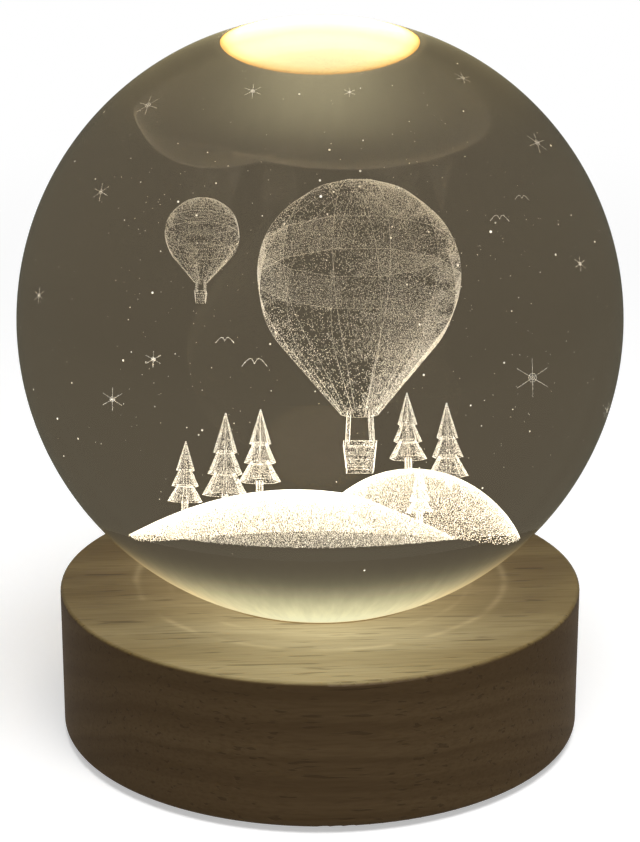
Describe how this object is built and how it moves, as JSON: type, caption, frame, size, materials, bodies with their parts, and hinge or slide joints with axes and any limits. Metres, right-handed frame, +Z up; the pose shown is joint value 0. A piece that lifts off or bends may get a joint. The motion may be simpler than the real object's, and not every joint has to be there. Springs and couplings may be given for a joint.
{
  "type": "crystal ball lamp",
  "caption": "Engraved glass ball standing by a ground flat on a round wooden base that lights it from below, with a power socket and a push switch at the back.",
  "frame": {"origin": "centre of the feet's underside, on the surface that the lamp stands on", "axes": "+Z up through the ball's centre, -Y to the front, +Y to the back with the socket, +X to the right seen from the front"},
  "size_m": [0.08, 0.08, 0.0973],
  "materials": {
    "clear_glass": "polished optical glass",
    "engraved_glass": "white marks inside the glass",
    "clear_ring": "clear soft ring",
    "base_wood": "oiled fine grained wood",
    "frosted_plastic": "frosted",
    "white_plastic": "white, satin",
    "screw_steel": "zinc plated",
    "white_board": "white solder mask",
    "diode": "white frame with a yellow window",
    "black_plastic": "black, satin",
    "green_board": "green solder mask",
    "bright_steel": "drawn steel",
    "socket_plastic": "black with bright contacts",
    "button_plastic": "black, satin",
    "red_lead": "red insulation",
    "black_lead": "black insulation",
    "solder": "bright",
    "resistor_black": "black with bright ends",
    "cover_plastic": "black, fine texture",
    "foot_rubber": "black foam rubber"
  },
  "bodies": {
    "lamp_base": {"wooden_base": "base_wood", "light_window": "frosted_plastic", "light_cup": "white_plastic", "cup_screws": "screw_steel", "led_board": "white_board", "led_chips": "diode", "led_board_screws": "screw_steel", "port_bracket": "black_plastic", "port_board": "green_board", "port_board_screws": "screw_steel", "socket_shell": "bright_steel", "socket_core": "socket_plastic", "switch_body": "black_plastic", "positive_lead": "red_lead", "negative_lead": "black_lead", "solder_joints": "solder", "resistors": "resistor_black", "bottom_cover": "cover_plastic", "cover_screws": "screw_steel", "feet": "foot_rubber"},
    "ball_seat": {"seat_ring": "clear_ring"},
    "glass_ball": {"crystal_ball": "clear_glass", "engraved_balloon": "engraved_glass", "engraved_small_balloon": "engraved_glass", "engraved_hills": "engraved_glass", "engraved_pines": "engraved_glass"},
    "push_button": {"switch_button": "button_plastic", "switch_plunger": "white_plastic"}
  },
  "joints": [
    {"name": "ball_turn", "type": "hinge", "parent": "lamp_base", "child": "ball_seat", "pos_m": [0, 0, 0.0208], "axis": [0, 0, 1], "continuous": true},
    {"name": "ball_lift", "type": "slide", "parent": "ball_seat", "child": "glass_ball", "axis": [0, 0, 1], "range_m": [0, 0.03]},
    {"name": "switch_press", "type": "slide", "parent": "lamp_base", "child": "push_button", "axis": [0, -1, 0], "range_m": [0, 0.0015], "stiffness_N_per_m": 800, "springref_m": -0.001}
  ]
}
